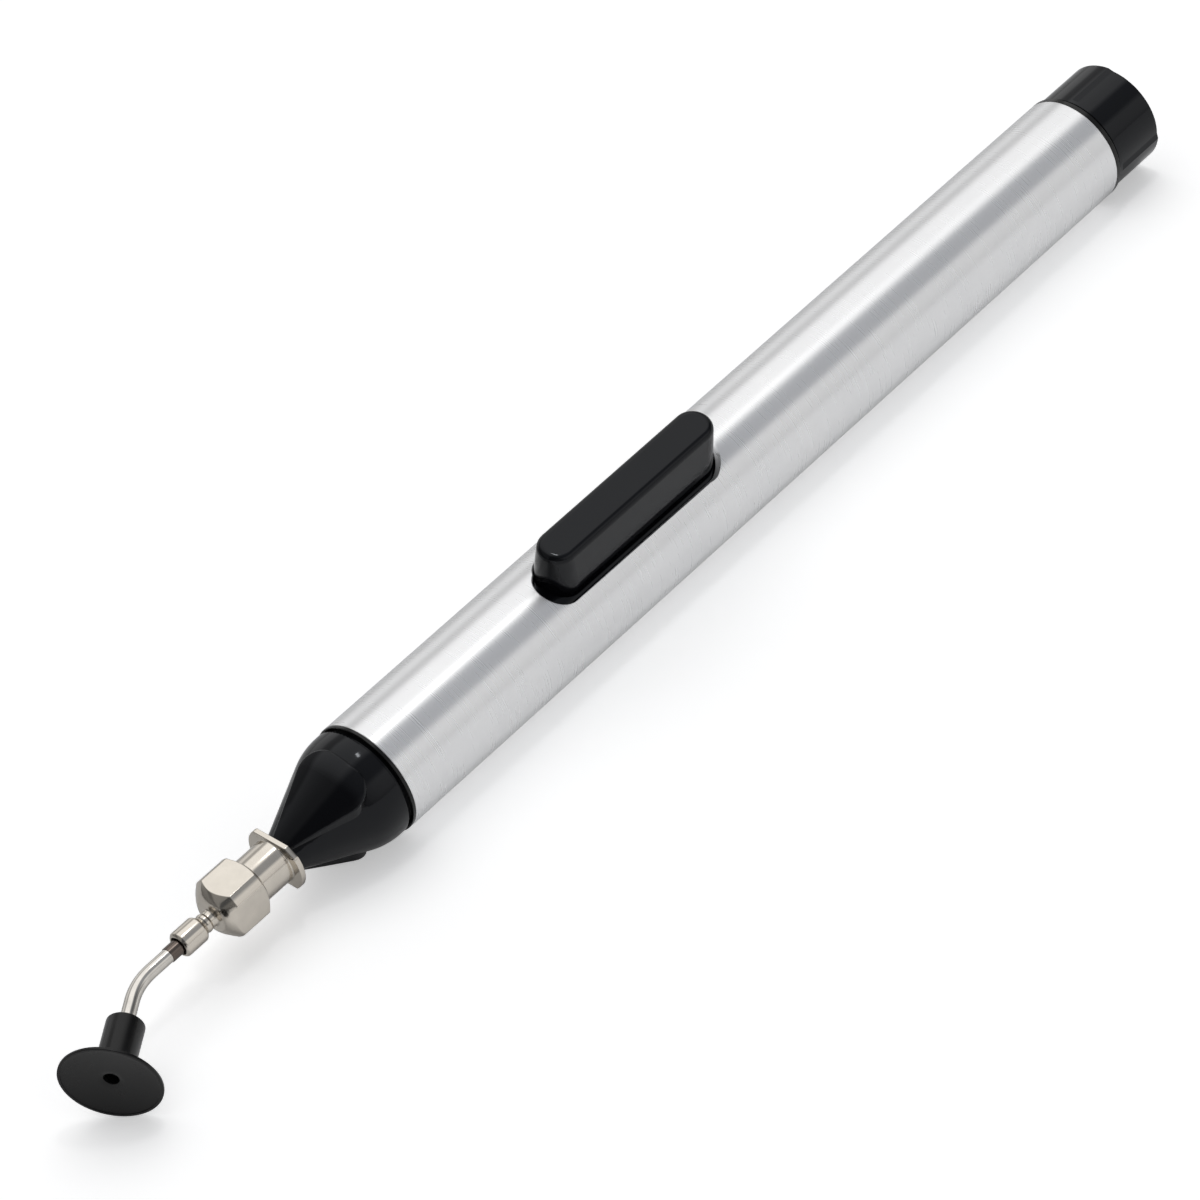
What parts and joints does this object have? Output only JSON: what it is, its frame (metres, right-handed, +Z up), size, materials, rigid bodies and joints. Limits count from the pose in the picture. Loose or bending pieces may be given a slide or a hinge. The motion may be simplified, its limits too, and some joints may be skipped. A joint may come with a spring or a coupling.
{
  "type": "vacuum pick up pen",
  "caption": "Hand-held vacuum pick-up pen: metal barrel with a long press button over a squeeze bulb, a black nose, and a bent needle that ends in a soft suction cup.",
  "frame": {"origin": "middle of the end cap's flat end, on the barrel's axis", "axes": "+X along the barrel's axis, out of the end cap; the nose and the needle point to -X; +Z up as the pen lies on a table; the suction cup turns towards -Y"},
  "size_m": [0.1834, 0.0186, 0.0189],
  "materials": {
    "barrel_aluminium": "satin turned aluminium",
    "ring_aluminium": "plain turned",
    "black_gloss": "gloss moulding",
    "black_moulding": "fine matte moulding",
    "black_rubber": "matte",
    "bulb_rubber": "matte, soft",
    "cup_rubber": "matte, soft",
    "nipple_brass": "turned",
    "hub_nickel": "satin nickel plate",
    "needle_steel": "drawn stainless tube",
    "sleeve_steel": "dark swaged sleeve"
  },
  "bodies": {
    "barrel": {"barrel": "barrel_aluminium", "front_bush": "black_moulding", "nose_cone": "black_gloss", "nose_o_ring": "black_rubber", "air_nipple": "nipple_brass", "nipple_nut": "nipple_brass", "nipple_o_ring": "black_rubber", "squeeze_bulb": "bulb_rubber", "front_clamp_ring": "ring_aluminium", "rear_clamp_ring": "ring_aluminium", "bulb_plug": "black_moulding", "bulb_cradle": "black_moulding", "rear_bush": "black_moulding", "end_cap": "black_gloss", "cap_o_ring": "black_rubber"},
    "button": {"button": "black_gloss"},
    "needle": {"luer_hub": "hub_nickel", "needle_tube": "needle_steel", "needle_sleeve": "sleeve_steel", "needle_seal": "black_rubber", "suction_cup": "cup_rubber"}
  },
  "joints": [
    {"name": "button_press", "type": "slide", "parent": "barrel", "child": "button", "axis": [0, 0.3395, -0.9406], "range_m": [0, 0.0025], "stiffness_N_per_m": 600, "deforming": ["squeeze_bulb"]},
    {"name": "needle_spin", "type": "hinge", "parent": "barrel", "child": "needle", "pos_m": [-0.1477, 0, 0], "axis": [1, 0, 0], "continuous": true}
  ]
}
